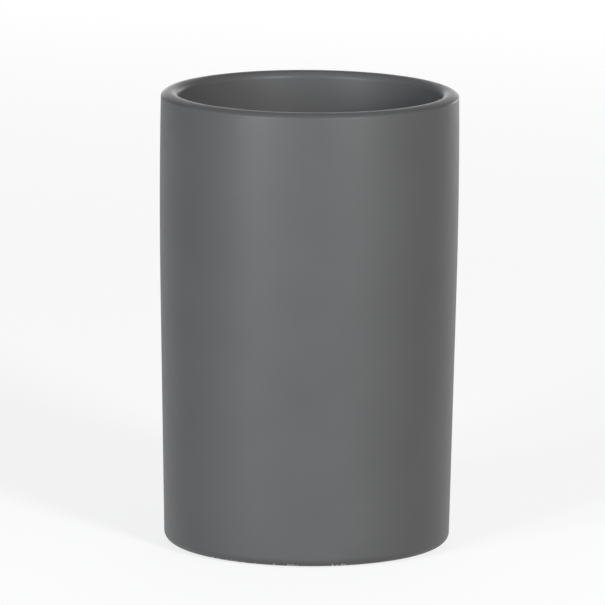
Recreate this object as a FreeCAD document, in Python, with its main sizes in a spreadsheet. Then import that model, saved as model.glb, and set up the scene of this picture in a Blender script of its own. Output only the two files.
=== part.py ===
import FreeCAD, Part
import math
import os
import Sketcher
from FreeCAD import Vector
from types import SimpleNamespace

# Bathroom tumbler: a cast ceramic cup under a matte glaze, with a bare foot ring, a glazed
# recess underneath and rubber bumpers stuck in the recess. Millimetres, +Z up, with the origin
# on the cup's axis, on the surface that the bumpers stand on.

SIZES = {
    # The cup, measured on its glazed surface. Its wall leans out in a straight line from the
    # foot to the knee, and bows back in from there to the rim in one long arc. The rim falls
    # away outwards from its crest, in a shallow crown that drops to a small outer edge, and
    # rolls inwards in a larger round. The floor is measured up from the recess underneath,
    # and the knee up from the foot.
    "overall_height": 115.0,
    "foot_diameter": 72.0,
    "knee_diameter": 74.6,
    "knee_height": 64.4,
    "rim_diameter": 74.9,
    "wall_thickness": 4.2,
    "floor_thickness": 5.0,
    "base_round": 2.4,
    "rim_drop": 1.05,
    "rim_edge_round": 0.5,
    "rim_inner_round": 1.9,
    "cove_round": 6.0,
    # The glaze, and the height above the foot at which it was wiped off.
    "glaze_thickness": 0.3,
    "glaze_line_height": 0.3,
    # The foot ring, from the foot diameter in to the recess, and the recess inside it.
    "foot_width": 7.0,
    "foot_edge_round": 0.5,
    "recess_depth": 2.2,
    # The rubber bumpers and their adhesive.
    "bumper_standoff": 0.4,
    "bumper_diameter": 9.0,
    "bumper_edge_round": 0.6,
    "bumper_edge_gap": 1.5,
    "adhesive_thickness": 0.15,
}
BUMPER_COUNT = 3
FULL_TURN = 360

# Places that several pieces share, as formulas on the sheet above.
FOOT = "Sizes.bumper_standoff"
RECESS_TOP = f"({FOOT} + Sizes.recess_depth)"
FLOOR_TOP = f"({RECESS_TOP} + Sizes.floor_thickness)"
RECESS_RADIUS = "(Sizes.foot_diameter / 2 - Sizes.foot_width)"
BASE_GLAZE_RADIUS = f"({RECESS_RADIUS} - Sizes.recess_depth + Sizes.foot_edge_round)"
BASE_GLAZE_BOTTOM = f"({RECESS_TOP} - Sizes.glaze_thickness)"
BUMPER_TOP = f"({BASE_GLAZE_BOTTOM} - Sizes.adhesive_thickness)"
BUMPER_RADIUS = "(Sizes.bumper_diameter / 2)"
BUMPER_CIRCLE_RADIUS = f"({BASE_GLAZE_RADIUS} - Sizes.bumper_edge_gap - {BUMPER_RADIUS})"
CROWN_WIDTH = "(Sizes.wall_thickness - Sizes.rim_inner_round)"
CROWN_RADIUS = f"(({CROWN_WIDTH} ^ 2 + Sizes.rim_drop ^ 2) / (2 * Sizes.rim_drop))"

doc = FreeCAD.newDocument("bathroom_tumbler")
sheet = doc.addObject("Spreadsheet::Sheet", "Sizes")
for row, (alias, number) in enumerate(SIZES.items(), start=1):
    sheet.set(f"A{row}", alias)
    sheet.set(f"B{row}", str(number))
    sheet.setAlias(f"B{row}", alias)
doc.recompute()


def value(formula):
    """The number that a formula on the sheet comes to."""
    return float(sheet.evalExpression(formula))


class Outline:
    """A half-section on a body's XZ plane, drawn in its solved place and then constrained.

    A segment is (geometry index, which of its points comes first, which comes last).
    """

    FIRST, LAST, CENTRE = range(1, 4)
    ROOT_INDEX, AXIS_INDEX = range(-1, -3, -1)

    def __init__(self, body, name):
        self.sketch = body.newObject("Sketcher::SketchObject", name)
        plane = [item for item in body.Origin.OriginFeatures if item.Role == "XZ_Plane"][0]
        self.sketch.AttachmentSupport = [(plane, "")]
        self.sketch.MapMode = "FlatFace"

    def line(self, first, last):
        index = self.sketch.addGeometry(Part.LineSegment(first, last))
        return index, self.FIRST, self.LAST

    def arc(self, centre, first, last):
        """The shorter arc from first to last, whichever way round it runs."""
        start, end = first - centre, last - centre
        circle = Part.Circle(centre, Vector(0, 0, 1), start.Length)
        turns_left = start.cross(end).z > 0
        angles = [math.atan2(arm.y, arm.x) for arm in (start, end)]
        if not turns_left:
            angles.reverse()
        index = self.sketch.addGeometry(Part.ArcOfCircle(circle, *angles))
        if turns_left:
            return index, self.FIRST, self.LAST
        return index, self.LAST, self.FIRST

    def point(self, place):
        return self.sketch.addGeometry(Part.Point(place), True), self.FIRST

    def fix(self, kind, *parts):
        self.sketch.addConstraint(Sketcher.Constraint(kind, *parts))

    def size(self, name, kind, parts, formula):
        """A dimension that follows the sheet."""
        index = self.sketch.addConstraint(Sketcher.Constraint(kind, *parts, value(formula)))
        self.sketch.renameConstraint(index, name)
        self.sketch.setExpression(f"Constraints.{name}", formula)

    def corner(self, before, after):
        self.fix("Coincident", before[0], before[2], after[0], after[1])

    def blend(self, before, after):
        self.fix("Tangent", before[0], before[2], after[0], after[1])

    def radius(self, name, segment, formula):
        self.size(name, "Radius", (segment[0],), formula)

    def across(self, name, index, position, formula):
        self.size(name, "DistanceX", (self.ROOT_INDEX, self.FIRST, index, position), formula)

    def height(self, name, index, position, formula):
        self.size(name, "DistanceY", (self.ROOT_INDEX, self.FIRST, index, position), formula)


def cup_formulas(inset, base_bottom, axis_bottom):
    """The sizes of the cup's section, for a surface that lies in by inset from the glazed one."""
    return {
        "foot_radius": f"Sizes.foot_diameter / 2 - {inset}",
        "foot_height": FOOT,
        "knee_radius": f"Sizes.knee_diameter / 2 - {inset}",
        "knee_height": f"{FOOT} + Sizes.knee_height",
        "rim_radius": f"Sizes.rim_diameter / 2 - {inset}",
        "rim_height": "Sizes.overall_height",
        "rim_top": f"Sizes.overall_height - {inset}",
        "wall": f"Sizes.wall_thickness - 2 * {inset}",
        "base_round": f"Sizes.base_round - {inset}",
        "rim_crown": f"{CROWN_RADIUS} - {inset}",
        "rim_edge_round": f"Sizes.rim_edge_round - {inset}",
        "rim_inner_round": f"Sizes.rim_inner_round - {inset}",
        "cove_round": f"Sizes.cove_round + {inset}",
        "floor_top": f"{FLOOR_TOP} - {inset}",
        "base_bottom": base_bottom,
        "axis_bottom": axis_bottom,
    }


def cup_points(formulas):
    """Where the lines and arcs of the cup's section meet, and where the arcs have their centres."""
    size = SimpleNamespace(**{name: value(formula) for name, formula in formulas.items()})
    at = SimpleNamespace()
    at.foot = Vector(size.foot_radius, size.foot_height, 0)
    at.knee = Vector(size.knee_radius, size.knee_height, 0)
    at.rim = Vector(size.rim_radius, size.rim_height, 0)
    lean = (at.knee - at.foot).normalize()
    outward = Vector(lean.y, -lean.x, 0)

    # The long arc leaves the leaning line at the knee and passes through the rim. Its radius
    # is negative where the wall flares out above the knee.
    rise = at.rim - at.knee
    bow = -rise.dot(rise) / (2 * outward.dot(rise))
    inner_bow = bow - size.wall
    at.bow_centre = at.knee - outward * bow
    at.inner_knee = at.knee - outward * size.wall

    def round_inside_rim(radius):
        """The centre of the round that rolls from the rim's crest down to the inner long arc,
        and where it meets that arc."""
        height = size.rim_top - radius
        centre_bow = inner_bow + radius
        across = math.sqrt(centre_bow ** 2 - (height - at.bow_centre.y) ** 2)
        centre = Vector(at.bow_centre.x + math.copysign(across, bow), height, 0)
        return centre, at.bow_centre + (centre - at.bow_centre) * (inner_bow / centre_bow)

    def round_on_edge(radius):
        """The centre of the round between the outer long arc and the crown, and where it
        meets the two."""
        bow_arm, crown_arm = bow - radius, size.rim_crown - radius
        between = at.crown_centre - at.bow_centre
        along = (bow_arm ** 2 - crown_arm ** 2 + between.dot(between)) / (2 * between.Length)
        upward = Vector(-between.y, between.x, 0) * math.copysign(1 / between.Length, between.x)
        foot = at.bow_centre + between * (along / between.Length)
        centre = foot + upward * math.sqrt(bow_arm ** 2 - along ** 2)
        on_wall = at.bow_centre + (centre - at.bow_centre) * (bow / bow_arm)
        on_crown = at.crown_centre + (centre - at.crown_centre) * (size.rim_crown / crown_arm)
        return centre, on_wall, on_crown

    def round_in_corner(start, radius, level):
        """The centre of a round between a level and the leaning line from start, and where
        it meets that line."""
        run = (level + radius + outward.y * radius - start.y) / lean.y
        touch = start + lean * run
        return touch - outward * radius, touch

    at.base_centre, at.base_touch = round_in_corner(at.foot, size.base_round, size.foot_height)
    base_drop = at.base_centre.y - size.base_bottom
    base_run = math.sqrt(max(size.base_round ** 2 - base_drop ** 2, 0))
    at.base_start = Vector(at.base_centre.x + base_run, size.base_bottom, 0)
    at.inner_centre, at.inner_touch = round_inside_rim(size.rim_inner_round)
    at.crest = Vector(at.inner_centre.x, size.rim_top, 0)
    at.crown_centre = at.crest - Vector(0, size.rim_crown, 0)
    at.edge_centre, at.edge_start, at.edge_end = round_on_edge(size.rim_edge_round)
    at.cove_centre, at.cove_touch = round_in_corner(at.inner_knee, size.cove_round, size.floor_top)
    at.cove_end = Vector(at.cove_centre.x, size.floor_top, 0)
    at.floor_middle = Vector(0, size.floor_top, 0)
    at.axis_end = Vector(0, size.axis_bottom, 0)
    return at


def cup_surface(outline, inset, base_bottom, axis_bottom):
    """Draws the cup's surface, in by inset from the glazed one: from its base round, which
    starts at the height base_bottom, up the outside, over the rim, down the inside to the
    middle of the floor, and down the axis to axis_bottom. Returns the base round and the axis.
    """
    formulas = cup_formulas(inset, base_bottom, axis_bottom)
    at = cup_points(formulas)
    base = outline.arc(at.base_centre, at.base_start, at.base_touch)
    leaning = outline.line(at.base_touch, at.knee)
    bowed = outline.arc(at.bow_centre, at.knee, at.edge_start)
    rim_edge = outline.arc(at.edge_centre, at.edge_start, at.edge_end)
    crown = outline.arc(at.crown_centre, at.edge_end, at.crest)
    inner_rim = outline.arc(at.inner_centre, at.crest, at.inner_touch)
    inner_bowed = outline.arc(at.bow_centre, at.inner_touch, at.inner_knee)
    inner_leaning = outline.line(at.inner_knee, at.cove_touch)
    cove = outline.arc(at.cove_centre, at.cove_touch, at.cove_end)
    floor = outline.line(at.cove_end, at.floor_middle)
    axis = outline.line(at.floor_middle, at.axis_end)
    foot_point = outline.point(at.foot)
    rim_point = outline.point(at.rim)

    run = [base, leaning, bowed, rim_edge, crown, inner_rim, inner_bowed, inner_leaning, cove, floor]
    for before, after in zip(run, run[1:]):
        outline.blend(before, after)
    outline.corner(floor, axis)
    outline.fix("Vertical", crown[0], outline.CENTRE, inner_rim[0], outline.CENTRE)
    outline.fix("Horizontal", floor[0])
    outline.fix("PointOnObject", floor[0], floor[2], outline.AXIS_INDEX)
    outline.fix("PointOnObject", axis[0], axis[2], outline.AXIS_INDEX)
    outline.fix("PointOnObject", *foot_point, leaning[0])
    outline.fix("PointOnObject", *rim_point, bowed[0])
    outline.fix("Coincident", inner_bowed[0], outline.CENTRE, bowed[0], outline.CENTRE)
    outline.fix("Parallel", inner_leaning[0], leaning[0])

    knee = (leaning[0], leaning[2])
    for name, place in {"foot_radius": foot_point, "knee_radius": knee, "rim_radius": rim_point}.items():
        outline.across(name, *place, formulas[name])
    heights = {
        "foot_height": foot_point,
        "knee_height": knee,
        "rim_height": rim_point,
        "rim_top": inner_rim[:2],
        "floor_top": floor[:2],
        "axis_bottom": (axis[0], axis[2]),
    }
    for name, place in heights.items():
        outline.height(name, *place, formulas[name])
    rounds = {
        "base_round": base,
        "rim_edge_round": rim_edge,
        "rim_crown": crown,
        "rim_inner_round": inner_rim,
        "cove_round": cove,
    }
    for name, segment in rounds.items():
        outline.radius(name, segment, formulas[name])
    outline.size("wall", "Distance", (*inner_leaning[:2], leaning[0]), formulas["wall"])
    return base, axis


def close_with_foot_ring(outline, base, axis):
    """Closes the section underneath: the recess, its cove, the rounded edge and the ring's land."""
    edge_round = value("Sizes.foot_edge_round")
    recess_radius = value(RECESS_RADIUS)
    side_height = value(FOOT) + edge_round
    cove_start = Vector(value(BASE_GLAZE_RADIUS), value(RECESS_TOP), 0)
    side = Vector(recess_radius, side_height, 0)
    land_start = Vector(recess_radius + edge_round, value(FOOT), 0)

    ceiling = outline.line(outline.sketch.getPoint(axis[0], axis[2]), cove_start)
    cove = outline.arc(Vector(cove_start.x, side_height, 0), cove_start, side)
    edge = outline.arc(Vector(land_start.x, side_height, 0), side, land_start)
    land = outline.line(land_start, outline.sketch.getPoint(*base[:2]))

    outline.corner(axis, ceiling)
    for before, after in zip([ceiling, cove, edge, land], [cove, edge, land, base]):
        outline.blend(before, after)
    outline.fix("Horizontal", ceiling[0])
    outline.fix("Horizontal", land[0])
    outline.fix("Horizontal", cove[0], outline.CENTRE, edge[0], outline.CENTRE)
    outline.height("land_height", land[0], land[1], FOOT)
    outline.across("recess_radius", cove[0], cove[2], RECESS_RADIUS)
    outline.radius("foot_edge_round", edge, "Sizes.foot_edge_round")


def close_flat(outline, base, axis):
    """Closes the section with a level line from the axis to the base round."""
    under = outline.line(outline.sketch.getPoint(axis[0], axis[2]), outline.sketch.getPoint(*base[:2]))
    outline.corner(axis, under)
    outline.fix("Horizontal", under[0])
    return under


def revolve(body, kind, name, outline):
    """Turns an outline all the way round the axis, to add or to cut."""
    doc.recompute()
    if not outline.sketch.FullyConstrained:
        raise RuntimeError(f"{outline.sketch.Label} is not fully constrained")
    feature = body.newObject(kind, name)
    feature.Profile = outline.sketch
    feature.ReferenceAxis = (outline.sketch, ["V_Axis"])
    feature.Angle = FULL_TURN
    doc.recompute()
    return feature


def make_ceramic_body():
    body = doc.addObject("PartDesign::Body", "ceramic_body")
    outline = Outline(body, "cup_section")
    base, axis = cup_surface(outline, "Sizes.glaze_thickness", FOOT, RECESS_TOP)
    close_with_foot_ring(outline, base, axis)
    revolve(body, "PartDesign::Revolution", "cup", outline)
    return body


def make_glaze_coat():
    """What lies between the glazed surface and the bare cup, above the line where the foot
    was wiped. It thins out towards that line."""
    glaze_line = f"{FOOT} + Sizes.glaze_line_height"
    body = doc.addObject("PartDesign::Body", "glaze_coat")
    glazed = Outline(body, "glazed_section")
    base, axis = cup_surface(glazed, "0", glaze_line, glaze_line)
    under = close_flat(glazed, base, axis)
    glazed.corner(under, base)
    glazed.height("base_centre", base[0], glazed.CENTRE, f"{FOOT} + Sizes.base_round")
    outside = revolve(body, "PartDesign::Revolution", "glazed_cup", glazed)

    bare = Outline(body, "bare_section")
    base, axis = cup_surface(bare, "Sizes.glaze_thickness", FOOT, FOOT)
    under = close_flat(bare, base, axis)
    bare.blend(under, base)
    coat = revolve(body, "PartDesign::Groove", "bare_cup", bare)
    if not coat.Shape.Volume < outside.Shape.Volume:
        raise RuntimeError("the bare cup was not cut out of the glaze")
    return body


def make_disc(name, radius, height, bottom):
    disc = doc.addObject("Part::Cylinder", name)
    disc.setExpression("Radius", radius)
    disc.setExpression("Height", height)
    disc.setExpression("Placement.Base.z", bottom)
    return disc


def make_bumper(name):
    """A rubber bumper with its underside at its own origin and a rounded lower edge."""
    body = doc.addObject("PartDesign::Body", name)
    outline = Outline(body, f"{name}_section")
    radius, edge_round, top = value(BUMPER_RADIUS), value("Sizes.bumper_edge_round"), value(BUMPER_TOP)
    edge_start = Vector(radius - edge_round, 0, 0)
    edge_end = Vector(radius, edge_round, 0)
    rim = Vector(radius, top, 0)
    middle = Vector(0, top, 0)

    under = outline.line(Vector(0, 0, 0), edge_start)
    edge = outline.arc(Vector(edge_start.x, edge_end.y, 0), edge_start, edge_end)
    side = outline.line(edge_end, rim)
    face = outline.line(rim, middle)
    axis = outline.line(middle, Vector(0, 0, 0))

    outline.blend(under, edge)
    outline.blend(edge, side)
    outline.corner(side, face)
    outline.corner(face, axis)
    outline.corner(axis, under)
    outline.fix("Horizontal", under[0])
    outline.fix("Vertical", side[0])
    outline.fix("Horizontal", face[0])
    outline.fix("PointOnObject", face[0], face[2], outline.AXIS_INDEX)
    outline.fix("Coincident", under[0], under[1], outline.ROOT_INDEX, outline.FIRST)
    outline.radius("bumper_edge_round", edge, "Sizes.bumper_edge_round")
    outline.across("bumper_radius", side[0], side[2], BUMPER_RADIUS)
    outline.height("bumper_top", side[0], side[2], BUMPER_TOP)
    revolve(body, "PartDesign::Revolution", f"{name}_turned", outline)
    return body


def place_on_bumper_circle(piece, turn):
    """Moves a piece from the axis out to the bumper circle, at a turn in degrees."""
    piece.setExpression("Placement.Base.x", f"{BUMPER_CIRCLE_RADIUS} * cos({turn} deg)")
    piece.setExpression("Placement.Base.y", f"{BUMPER_CIRCLE_RADIUS} * sin({turn} deg)")


def make_bumpers():
    pieces = []
    for number in range(BUMPER_COUNT):
        turn = FULL_TURN * number / BUMPER_COUNT
        bumper = make_bumper(f"rubber_bumper_{number + 1}")
        film = make_disc(
            f"bumper_adhesive_{number + 1}", BUMPER_RADIUS, "Sizes.adhesive_thickness", BUMPER_TOP)
        for piece in (bumper, film):
            place_on_bumper_circle(piece, turn)
            pieces.append(piece)
    return pieces


pieces = [make_ceramic_body(), make_glaze_coat()]
pieces.append(make_disc("base_glaze", BASE_GLAZE_RADIUS, "Sizes.glaze_thickness", BASE_GLAZE_BOTTOM))
pieces.extend(make_bumpers())
doc.recompute()

for item in doc.Objects:
    if "Invalid" in item.State or "Error" in item.State:
        raise RuntimeError(f"{item.Label} failed: {item.State}")
for piece in pieces:
    if piece.Shape.isNull() or not piece.Shape.isValid():
        raise RuntimeError(f"{piece.Label} has no valid shape")

os.makedirs("parts", exist_ok=True)
for piece in pieces:
    piece.Shape.exportStep(f"parts/{piece.Label}.step")
    print(f"{piece.Label}: {piece.Shape.Volume:.1f} mm3, {len(piece.Shape.Solids)} solid")
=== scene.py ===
import math
import random

import bpy
from mathutils import Matrix, Vector


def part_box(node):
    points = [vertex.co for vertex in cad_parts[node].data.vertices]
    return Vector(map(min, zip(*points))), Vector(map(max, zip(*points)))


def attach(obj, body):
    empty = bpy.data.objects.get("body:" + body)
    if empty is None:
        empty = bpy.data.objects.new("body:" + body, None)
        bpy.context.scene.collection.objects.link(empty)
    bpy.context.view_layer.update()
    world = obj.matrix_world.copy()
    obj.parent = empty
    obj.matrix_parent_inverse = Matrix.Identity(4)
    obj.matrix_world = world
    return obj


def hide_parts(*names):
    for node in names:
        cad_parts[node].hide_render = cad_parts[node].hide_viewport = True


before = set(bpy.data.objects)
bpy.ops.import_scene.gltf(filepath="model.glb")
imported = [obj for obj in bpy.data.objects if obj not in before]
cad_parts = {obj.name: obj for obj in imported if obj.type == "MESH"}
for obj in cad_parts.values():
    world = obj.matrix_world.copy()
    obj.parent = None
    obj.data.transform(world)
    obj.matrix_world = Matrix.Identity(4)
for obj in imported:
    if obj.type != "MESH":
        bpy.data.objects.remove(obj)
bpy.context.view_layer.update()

# Bathroom tumbler: a matte glazed ceramic cup on rubber bumpers. Metres and radians.
MM = 0.001

# The cup's section on its glazed surface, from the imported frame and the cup's own sizes.
# SHY keeps the finely turned meshes inside the CAD model's coarser facets.
SHY = 0.02 * MM
FOOT_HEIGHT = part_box("ceramic_body")[0].z
RIM_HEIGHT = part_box("glaze_coat")[1].z - SHY
FOOT_RADIUS = 36.0 * MM - SHY
KNEE_RADIUS = 37.3 * MM - SHY
KNEE_HEIGHT = FOOT_HEIGHT + 64.4 * MM
RIM_RADIUS = 37.45 * MM - SHY
WALL = 4.2 * MM
FLOOR_HEIGHT = FOOT_HEIGHT + 7.2 * MM
BASE_ROUND = 2.4 * MM
RIM_DROP = 1.05 * MM
RIM_EDGE_ROUND = 0.5 * MM
RIM_INNER_ROUND = 1.9 * MM
COVE_ROUND = 6.0 * MM
GLAZE = 0.3 * MM

# Underneath: the bare foot ring, the recess inside it and the glaze in the recess.
RECESS_RADIUS = 29.0 * MM
RECESS_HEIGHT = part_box("base_glaze")[1].z
FOOT_EDGE_ROUND = 0.5 * MM
BASE_GLAZE_DISH = 0.08 * MM
DISH_SHARE = 0.9
BEAD_SHARE = 0.6

# The rubber bumpers.
BUMPER_DRAFT = 0.3 * MM
BUMPER_EDGE_ROUND = 0.6 * MM
BUMPER_TOP_ROUND = 0.15 * MM

# The wiped lower edge of the glaze: a wavering line with small bites out of it, most of them
# on the front left.
EDGE_HEIGHT = 0.15 * MM
EDGE_WAVER = 0.04 * MM
EDGE_WAVES = (7, 17, 41, 90)
EDGE_TOP = 1.4 * MM
# Bites as (count, first angle, last angle), in degrees.
BITE_ARCS = [(13, 227, 246), (9, 255, 268), (4, 281, 287), (20, 0, 360)]
BITE_DEPTHS = (0.42 * MM, 0.78 * MM)
BITE_HALF_WIDTHS = (0.15 * MM, 0.4 * MM)
BITE_STEPS = 8
EDGE_SEED = 7

# How finely the meshes are turned.
COAT_TURNS = 360
BODY_TURNS = 240
BUMPER_TURNS = 72
WALL_STEPS = 14
ROUND_STEP = math.radians(6)
ON_AXIS = 0.001 * MM

# Looks: colours as (dark, pale), roughness as (low, high), noise as (feature size, detail).
GLAZE_COLOURS = ((0.087, 0.087, 0.0875), (0.094, 0.094, 0.0945))
GLAZE_MOTTLE = (18 * MM, 3)
GLAZE_ROUGHNESS = (0.42, 0.46)
GLAZE_ROUGH_NOISE = (4 * MM, 4)
GLAZE_GRAIN = (0.5 * MM, 2)
GLAZE_GRAIN_DEPTH = 0.002 * MM
GLAZE_SPECULAR = 0.25
CLAY_COLOURS = ((0.62, 0.6, 0.57), (0.8, 0.78, 0.75))
CLAY_MOTTLE = (1.2 * MM, 5)
CLAY_ROUGHNESS = (0.8, 0.95)
CLAY_ROUGH_NOISE = (2 * MM, 3)
CLAY_GRAIN = (0.35 * MM, 4)
CLAY_GRAIN_DEPTH = 0.03 * MM
RUBBER_COLOURS = ((0.36, 0.36, 0.35), (0.44, 0.44, 0.43))
RUBBER_MOTTLE = (3 * MM, 4)
RUBBER_ROUGHNESS = (0.5, 0.65)
RUBBER_ROUGH_NOISE = (1 * MM, 3)
RUBBER_GRAIN = (0.3 * MM, 3)
RUBBER_GRAIN_DEPTH = 0.01 * MM
ADHESIVE_COLOURS = ((0.7, 0.69, 0.64), (0.82, 0.81, 0.77))
ADHESIVE_MOTTLE = (2 * MM, 3)
ADHESIVE_ROUGHNESS = (0.35, 0.5)
ADHESIVE_ROUGH_NOISE = (1 * MM, 3)
ADHESIVE_GRAIN = (0.6 * MM, 3)
ADHESIVE_GRAIN_DEPTH = 0.01 * MM
NOISE_SPAN = (0.3, 0.7)

# The floor, the world and the lamps. The floor's glow and the light on it add up to white.
FLOOR_SIZE = 16.0
FLOOR_COLOUR = (0.3, 0.3, 0.3, 1)
FLOOR_GLOW = 0.76
WORLD_LEVEL = 0.08
SOFTBOX_DISTANCE = 1.5
WHITE = (1.0, 1.0, 1.0)
COOL_WHITE = (0.92, 0.95, 1.0)

# Softboxes as (name, azimuth to the right of the camera, elevation, (width, height), light, colour),
# with angles in degrees. The light is how bright a softbox alone makes white that faces it.
SOFTBOXES = [
    ("left_softbox", -42, 8, (0.2, 0.3), 0.53, COOL_WHITE),
    ("high_left_softbox", -30, 18, (0.2, 0.3), 0.33, COOL_WHITE),
    ("right_softbox", 31, 18, (0.25, 0.3), 0.74, WHITE),
    ("right_low_panel", 48, 8, (0.2, 0.3), 0.06, WHITE),
    ("right_side_panel", 85, 18, (0.5, 0.5), 0.02, WHITE),
    ("right_back_strip", 150, 4, (0.4, 0.25), 0.165, WHITE),
    ("back_strip", 180, 4, (0.8, 0.25), 0.14, WHITE),
    ("backdrop", 180, 12, (2.0, 0.3), 0.11, WHITE),
    ("high_back_panel", 180, 25, (1.2, 0.3), 0.1, WHITE),
    ("top_panel", 0, 89.9, (1.2, 1.2), 0.08, WHITE),
]

CAMERA_LENS = 508.6
CAMERA_SENSOR = 36
CAMERA_CLIP_END = 50
CAMERA_DISTANCE = 2.1533
CAMERA_RISE = 0.1795
CAMERA_PITCH = 0.17795
CAMERA_YAW = -0.0007
CAMERA_ROLL = 0.0079


def wall_radius(height):
    """The outside of the wall: a leaning line up to the knee, then a long arc to the rim."""
    knee = Vector((KNEE_RADIUS, KNEE_HEIGHT))
    lean = (knee - Vector((FOOT_RADIUS, FOOT_HEIGHT))).normalized()
    if height <= KNEE_HEIGHT:
        return KNEE_RADIUS + (height - KNEE_HEIGHT) * lean.x / lean.y
    outward = Vector((lean.y, -lean.x))
    rise = Vector((RIM_RADIUS, RIM_HEIGHT)) - knee
    bow = -rise.dot(rise) / (2 * outward.dot(rise))
    centre = knee - outward * bow
    return centre.x + math.sqrt(bow ** 2 - (height - centre.y) ** 2)


def rounded(corners):
    """The points of a section through corners of (radius, height, round), each round an arc."""
    points = []
    for index, (across, height, turn) in enumerate(corners):
        here = Vector((across, height))
        if not turn:
            points.append(here)
            continue
        before = (Vector(corners[index - 1][:2]) - here).normalized()
        after = (Vector(corners[index + 1][:2]) - here).normalized()
        half = before.angle(after) / 2
        centre = here + (before + after).normalized() * (turn / math.sin(half))
        reach = turn / math.tan(half)
        first = here + before * reach - centre
        sweep = first.angle_signed(here + after * reach - centre)
        steps = max(2, round(abs(sweep) / ROUND_STEP))
        for step in range(steps + 1):
            points.append(centre + Matrix.Rotation(-sweep * step / steps, 2) @ first)
    return points


def arc(centre, radius, first, last):
    """The points of an arc, from one angle to another."""
    steps = max(2, round((last - first) / ROUND_STEP))
    turns = [first + (last - first) * step / steps for step in range(steps + 1)]
    return [centre + Vector((math.cos(turn), math.sin(turn))) * radius for turn in turns]


def rim_section(inset):
    """The rim, in by inset: a small outer edge, a crown that rises to the crest, and the round
    that rolls down inside."""
    width = WALL - RIM_INNER_ROUND
    crown = (width ** 2 + RIM_DROP ** 2) / (2 * RIM_DROP)
    crest = Vector((RIM_RADIUS - width, RIM_HEIGHT))
    crown_centre = crest - Vector((0, crown))
    edge_across = width - RIM_EDGE_ROUND
    edge_arm = crown - RIM_EDGE_ROUND
    edge_centre = crown_centre + Vector((edge_across, math.sqrt(edge_arm ** 2 - edge_across ** 2)))
    lean = math.acos(edge_across / edge_arm)
    points = arc(edge_centre, RIM_EDGE_ROUND - inset, 0, lean)
    points += arc(crown_centre, crown - inset, lean, math.pi / 2)[1:]
    inner_centre = crest - Vector((0, RIM_INNER_ROUND))
    points += arc(inner_centre, RIM_INNER_ROUND - inset, math.pi / 2, math.pi)[1:]
    return points


def cup_section(inset):
    """The cup's surface from its foot over the rim to the middle of the floor, in by inset."""
    rows = [FOOT_HEIGHT + (RIM_HEIGHT - FOOT_HEIGHT) * step / WALL_STEPS for step in range(1, WALL_STEPS)]
    thickness = WALL - inset
    corners = [(RECESS_RADIUS, FOOT_HEIGHT, 0), (FOOT_RADIUS - inset, FOOT_HEIGHT, BASE_ROUND - inset)]
    corners += [(wall_radius(row) - inset, row, 0) for row in rows]
    corners += [(point.x, point.y, 0) for point in rim_section(inset)]
    clear_of_cove = FLOOR_HEIGHT + COVE_ROUND * 2
    corners += [(wall_radius(row) - thickness, row, 0) for row in reversed(rows) if row > clear_of_cove]
    corners.append((wall_radius(FLOOR_HEIGHT) - thickness, FLOOR_HEIGHT - inset, COVE_ROUND + inset))
    corners.append((0, FLOOR_HEIGHT - inset, 0))
    return rounded(corners)[1:]


def even_angles(count):
    return [math.tau * turn / count for turn in range(count)]


def lathe(name, section, angles, warp=None, centre=(0, 0)):
    """Turns a section about a vertical axis into a closed mesh. A section whose ends don't lie
    on the axis is joined up into a ring. warp(point index, point, angle) bends it on the way round."""
    vertices, faces, rows = [], [], []
    turns = len(angles)
    for index, point in enumerate(section):
        if point.x < ON_AXIS:
            rows.append([len(vertices)])
            vertices.append((centre[0], centre[1], point.y))
            continue
        rows.append(list(range(len(vertices), len(vertices) + turns)))
        for angle in angles:
            bent = warp(index, point, angle) if warp else point
            across, along = bent.x * math.cos(angle), bent.x * math.sin(angle)
            vertices.append((centre[0] + across, centre[1] + along, bent.y))
    pairs = list(zip(rows, rows[1:]))
    if len(rows[0]) > 1:
        pairs.append((rows[-1], rows[0]))
    for low, high in pairs:
        for turn in range(turns):
            after = (turn + 1) % turns
            if len(low) == 1 and len(high) == 1:
                break
            if len(low) == 1:
                faces.append((low[0], high[after], high[turn]))
            elif len(high) == 1:
                faces.append((low[turn], low[after], high[0]))
            else:
                faces.append((low[turn], low[after], high[after], high[turn]))
    mesh = bpy.data.meshes.new(name)
    mesh.from_pydata(vertices, [], faces)
    mesh.validate()
    mesh.shade_smooth()
    piece = bpy.data.objects.new(name, mesh)
    bpy.context.scene.collection.objects.link(piece)
    return piece


def glaze_bites():
    """Small bites out of the glaze's lower edge, as (middle angle, half angle, depth)."""
    draw = random.Random(EDGE_SEED)
    bites = []
    for count, first, last in BITE_ARCS:
        for _ in range(count):
            middle = math.radians(draw.uniform(first, last))
            half_angle = draw.uniform(*BITE_HALF_WIDTHS) / FOOT_RADIUS
            bites.append((middle, half_angle, draw.uniform(*BITE_DEPTHS)))
    return bites


def glaze_edge(bites, angle):
    """The height of the glaze's lower edge above the foot."""
    waver = sum(math.sin(count * angle + count) for count in EDGE_WAVES) / len(EDGE_WAVES)
    height = EDGE_HEIGHT + EDGE_WAVER * waver
    for middle, half_angle, depth in bites:
        off = (angle - middle + math.pi) % math.tau - math.pi
        height = max(height, EDGE_HEIGHT + depth * (1 - (off / half_angle) ** 2))
    return height


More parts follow.
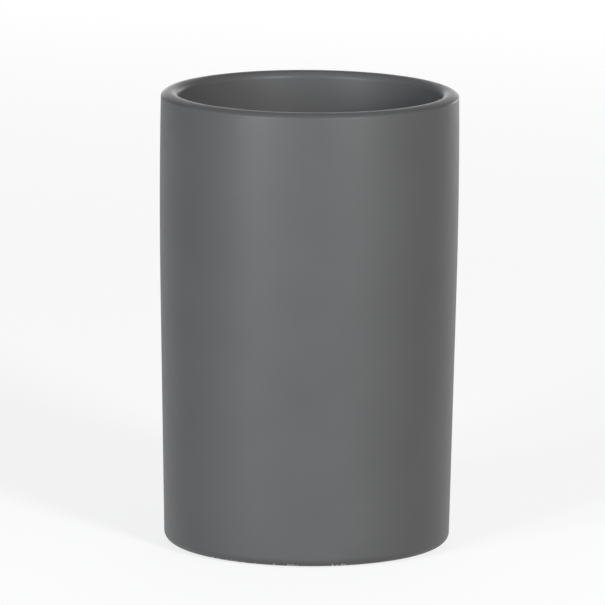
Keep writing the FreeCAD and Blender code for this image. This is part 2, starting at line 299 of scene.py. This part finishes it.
def make_glaze_coat():
    outer, inner = cup_section(0), cup_section(GLAZE)
    insets = [0] * len(outer) + [GLAZE] * len(inner)
    bottoms = {0: outer[0].x, GLAZE: inner[0].x}
    bites = glaze_bites()
    angles = set(even_angles(COAT_TURNS))
    for middle, half_angle, _ in bites:
        spread = [2 * step / BITE_STEPS - 1 for step in range(BITE_STEPS + 1)]
        angles.update((middle + half_angle * share) % math.tau for share in spread)
    angles = sorted(angles)
    edges = {angle: glaze_edge(bites, angle) for angle in angles}

    def ragged(index, point, angle):
        """Lifts the coat's lowest part to its edge, along the base round."""
        height = point.y - FOOT_HEIGHT
        if height >= EDGE_TOP or point.x < RECESS_RADIUS:
            return point
        edge = edges[angle]
        raised = edge + height * (EDGE_TOP - edge) / EDGE_TOP
        inset = insets[index]
        radius = BASE_ROUND - inset
        across = bottoms[inset] + math.sqrt(radius ** 2 - (radius - raised) ** 2)
        return Vector((across, FOOT_HEIGHT + raised))

    return lathe("glazed_surface", outer + inner[::-1], angles, ragged)


def make_clay_body():
    """The fired body, whose foot ring and recess show underneath."""
    recess_cove = RECESS_HEIGHT - FOOT_HEIGHT - FOOT_EDGE_ROUND
    underside = rounded([
        (0, RECESS_HEIGHT, 0),
        (RECESS_RADIUS, RECESS_HEIGHT, recess_cove),
        (RECESS_RADIUS, FOOT_HEIGHT, FOOT_EDGE_ROUND),
        (FOOT_RADIUS, FOOT_HEIGHT, 0),
    ])[:-1]
    return lathe("fired_body", underside + cup_section(GLAZE), even_angles(BODY_TURNS))


def make_base_glaze():
    """The patch of glaze in the recess, a little thicker towards its rounded edge."""
    low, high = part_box("base_glaze")
    radius = high.x
    section = rounded([
        (0, low.z + BASE_GLAZE_DISH, 0),
        (radius * DISH_SHARE, low.z + BASE_GLAZE_DISH, 0),
        (radius, low.z, (high.z - low.z) * BEAD_SHARE),
        (radius, high.z, 0),
        (0, high.z, 0),
    ])
    return lathe("recess_glaze", section, even_angles(BODY_TURNS))


def make_bumper(node):
    """A rubber bumper: a flat foot, a soft lower edge, a drafted side and a small top edge."""
    low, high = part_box(node)
    middle = (low + high) / 2
    radius = (high.x - low.x) / 2
    section = rounded([
        (0, low.z, 0),
        (radius - BUMPER_DRAFT, low.z, BUMPER_EDGE_ROUND),
        (radius, high.z, BUMPER_TOP_ROUND),
        (0, high.z, 0),
    ])
    return lathe(node + "_rubber", section, even_angles(BUMPER_TURNS), centre=middle[:2])


def new_material(name):
    material = bpy.data.materials.new(name)
    material.use_nodes = True
    tree = material.node_tree
    return material, tree, tree.nodes["Principled BSDF"]


def add_noise(tree, noise, low=0, high=1):
    """Noise of (feature size, detail), mapped to the range low to high."""
    size, detail = noise
    place = tree.nodes.new("ShaderNodeTexCoord")
    texture = tree.nodes.new("ShaderNodeTexNoise")
    texture.inputs["Scale"].default_value = 1 / size
    texture.inputs["Detail"].default_value = detail
    spread = tree.nodes.new("ShaderNodeMapRange")
    spread.inputs["From Min"].default_value, spread.inputs["From Max"].default_value = NOISE_SPAN
    spread.inputs["To Min"].default_value = low
    spread.inputs["To Max"].default_value = high
    tree.links.new(place.outputs["Object"], texture.inputs["Vector"])
    tree.links.new(texture.outputs["Fac"], spread.inputs["Value"])
    return spread.outputs["Result"]


def mottle(tree, shader, noise, colours):
    """Colours a shader between two colours by noise."""
    mix = tree.nodes.new("ShaderNodeMix")
    mix.data_type = "RGBA"
    mix.inputs["A"].default_value = (*colours[0], 1)
    mix.inputs["B"].default_value = (*colours[1], 1)
    tree.links.new(add_noise(tree, noise), mix.inputs["Factor"])
    tree.links.new(mix.outputs["Result"], shader.inputs["Base Color"])


def roughen(tree, shader, noise, roughness):
    tree.links.new(add_noise(tree, noise, *roughness), shader.inputs["Roughness"])


def add_grain(tree, shader, noise, depth):
    bump = tree.nodes.new("ShaderNodeBump")
    bump.inputs["Distance"].default_value = depth
    tree.links.new(add_noise(tree, noise), bump.inputs["Height"])
    tree.links.new(bump.outputs["Normal"], shader.inputs["Normal"])


def glaze_material():
    material, tree, shader = new_material("matte_grey_glaze")
    shader.inputs["Specular IOR Level"].default_value = GLAZE_SPECULAR
    mottle(tree, shader, GLAZE_MOTTLE, GLAZE_COLOURS)
    roughen(tree, shader, GLAZE_ROUGH_NOISE, GLAZE_ROUGHNESS)
    add_grain(tree, shader, GLAZE_GRAIN, GLAZE_GRAIN_DEPTH)
    return material


def clay_material():
    material, tree, shader = new_material("fired_clay")
    mottle(tree, shader, CLAY_MOTTLE, CLAY_COLOURS)
    roughen(tree, shader, CLAY_ROUGH_NOISE, CLAY_ROUGHNESS)
    add_grain(tree, shader, CLAY_GRAIN, CLAY_GRAIN_DEPTH)
    return material


def rubber_material():
    material, tree, shader = new_material("bumper_rubber")
    mottle(tree, shader, RUBBER_MOTTLE, RUBBER_COLOURS)
    roughen(tree, shader, RUBBER_ROUGH_NOISE, RUBBER_ROUGHNESS)
    add_grain(tree, shader, RUBBER_GRAIN, RUBBER_GRAIN_DEPTH)
    return material


def adhesive_material():
    material, tree, shader = new_material("adhesive_film")
    mottle(tree, shader, ADHESIVE_MOTTLE, ADHESIVE_COLOURS)
    roughen(tree, shader, ADHESIVE_ROUGH_NOISE, ADHESIVE_ROUGHNESS)
    add_grain(tree, shader, ADHESIVE_GRAIN, ADHESIVE_GRAIN_DEPTH)
    return material


def dress(piece, material, slot, *nodes):
    piece.data.materials.clear()
    piece.data.materials.append(material)
    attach(piece, "root")
    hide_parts(*nodes)


glaze = glaze_material()
clay = clay_material()
rubber = rubber_material()
adhesive = adhesive_material()
dress(make_glaze_coat(), glaze, "matte_glaze", "glaze_coat")
dress(make_clay_body(), clay, "fired_clay", "ceramic_body")
dress(make_base_glaze(), glaze, "matte_glaze", "base_glaze")
for node in sorted(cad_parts):
    if node.startswith("rubber_bumper"):
        dress(make_bumper(node), rubber, "bumper_rubber", node)
    if node.startswith("bumper_adhesive"):
        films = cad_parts[node].data.materials
        films.clear()
        films.append(adhesive)


def make_floor():
    """A pale floor that shows white where nothing shades it, and that can be seen through from below."""
    mesh = bpy.data.meshes.new("floor")
    half = FLOOR_SIZE / 2
    corners = [(-half, -half, 0), (half, -half, 0), (half, half, 0), (-half, half, 0)]
    mesh.from_pydata(corners, [], [(0, 1, 2, 3)])
    floor = bpy.data.objects.new("floor", mesh)
    bpy.context.scene.collection.objects.link(floor)
    material, tree, shader = new_material("pale_floor")
    nodes, links = tree.nodes, tree.links
    shader.inputs["Base Color"].default_value = FLOOR_COLOUR
    shader.inputs["Roughness"].default_value = 1
    shader.inputs["Specular IOR Level"].default_value = 0
    shader.inputs["Emission Color"].default_value = (1, 1, 1, 1)
    path = nodes.new("ShaderNodeLightPath")
    seen = path.outputs["Is Camera Ray"]
    for ray in ("Is Glossy Ray", "Is Transmission Ray"):
        either = nodes.new("ShaderNodeMath")
        either.operation = "MAXIMUM"
        links.new(seen, either.inputs[0])
        links.new(path.outputs[ray], either.inputs[1])
        seen = either.outputs["Value"]
    glow = nodes.new("ShaderNodeMath")
    glow.operation = "MULTIPLY"
    glow.inputs[1].default_value = FLOOR_GLOW
    links.new(seen, glow.inputs[0])
    links.new(glow.outputs["Value"], shader.inputs["Emission Strength"])
    side = nodes.new("ShaderNodeNewGeometry")
    clear = nodes.new("ShaderNodeBsdfTransparent")
    either_side = nodes.new("ShaderNodeMixShader")
    links.new(side.outputs["Backfacing"], either_side.inputs["Fac"])
    links.new(shader.outputs["BSDF"], either_side.inputs[1])
    links.new(clear.outputs["BSDF"], either_side.inputs[2])
    links.new(either_side.outputs["Shader"], nodes["Material Output"].inputs["Surface"])
    mesh.materials.append(material)


def make_world():
    world = bpy.data.worlds.new("studio")
    bpy.context.scene.world = world
    world.use_nodes = True
    background = world.node_tree.nodes["Background"]
    background.inputs["Color"].default_value = (1, 1, 1, 1)
    background.inputs["Strength"].default_value = WORLD_LEVEL


def make_softbox(name, azimuth, elevation, size, light, colour):
    """A softbox that faces the cup."""
    lamp = bpy.data.lights.new(name, "AREA")
    lamp.shape = "RECTANGLE"
    lamp.size, lamp.size_y = size
    lamp.energy = light * (math.pi * SOFTBOX_DISTANCE) ** 2
    lamp.color = colour
    box = bpy.data.objects.new(name, lamp)
    box.visible_camera = False
    turn, rise = math.radians(azimuth), math.radians(elevation)
    aim = Vector((math.sin(turn) * math.cos(rise), -math.cos(turn) * math.cos(rise), math.sin(rise)))
    box.location = Vector((0, 0, RIM_HEIGHT / 2)) + aim * SOFTBOX_DISTANCE
    box.rotation_euler = (-aim).to_track_quat("-Z", "Y").to_euler()
    bpy.context.scene.collection.objects.link(box)


def make_camera():
    data = bpy.data.cameras.new("camera")
    data.lens = CAMERA_LENS
    data.sensor_width = CAMERA_SENSOR
    data.clip_end = CAMERA_CLIP_END
    camera = bpy.data.objects.new("camera", data)
    middle = (FOOT_HEIGHT + RIM_HEIGHT) / 2
    across = CAMERA_DISTANCE * math.cos(CAMERA_RISE)
    camera.location = (0, -across, middle + CAMERA_DISTANCE * math.sin(CAMERA_RISE))
    camera.rotation_mode = "XYZ"
    turn = Matrix.Rotation(-CAMERA_YAW, 3, "Z") @ Matrix.Rotation(math.pi / 2 - CAMERA_PITCH, 3, "X")
    camera.rotation_euler = (turn @ Matrix.Rotation(CAMERA_ROLL, 3, "Z")).to_euler()
    bpy.context.scene.collection.objects.link(camera)
    bpy.context.scene.camera = camera


make_floor()
make_world()
for softbox in SOFTBOXES:
    make_softbox(*softbox)
make_camera()
bpy.context.scene.view_settings.view_transform = "Standard"
